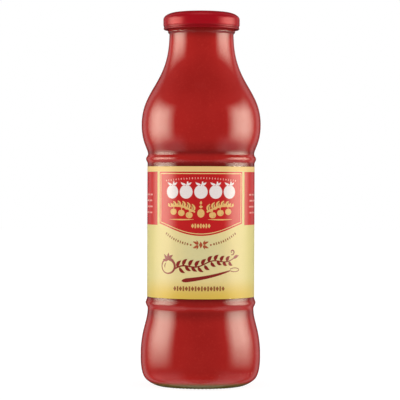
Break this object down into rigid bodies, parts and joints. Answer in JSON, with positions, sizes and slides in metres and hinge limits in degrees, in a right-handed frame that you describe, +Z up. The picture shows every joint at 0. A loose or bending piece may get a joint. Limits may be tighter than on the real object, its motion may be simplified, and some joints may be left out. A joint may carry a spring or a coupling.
{
  "type": "passata bottle",
  "caption": "Tall clear glass bottle filled with tomato passata, with a ribbed waist, a paper label wrapped round it and a red twist-off lid.",
  "frame": {"origin": "centre of the standing ring, on the surface that the bottle stands on", "axes": "+Z up along the bottle's axis, -Y towards the front of the label"},
  "size_m": [0.0788, 0.0788, 0.2455],
  "materials": {
    "glass": "clear soda-lime bottle glass with a faint green tint, smooth",
    "lid_lacquer": "glossy red lacquer on tinplate",
    "label_paper": "satin coated label paper, pale cream with printed fields",
    "passata": "smooth tomato passata, wet against the glass"
  },
  "bodies": {
    "root": {"glass_bottle": "glass", "lid": "lid_lacquer", "label": "label_paper", "passata": "passata"}
  },
  "joints": []
}
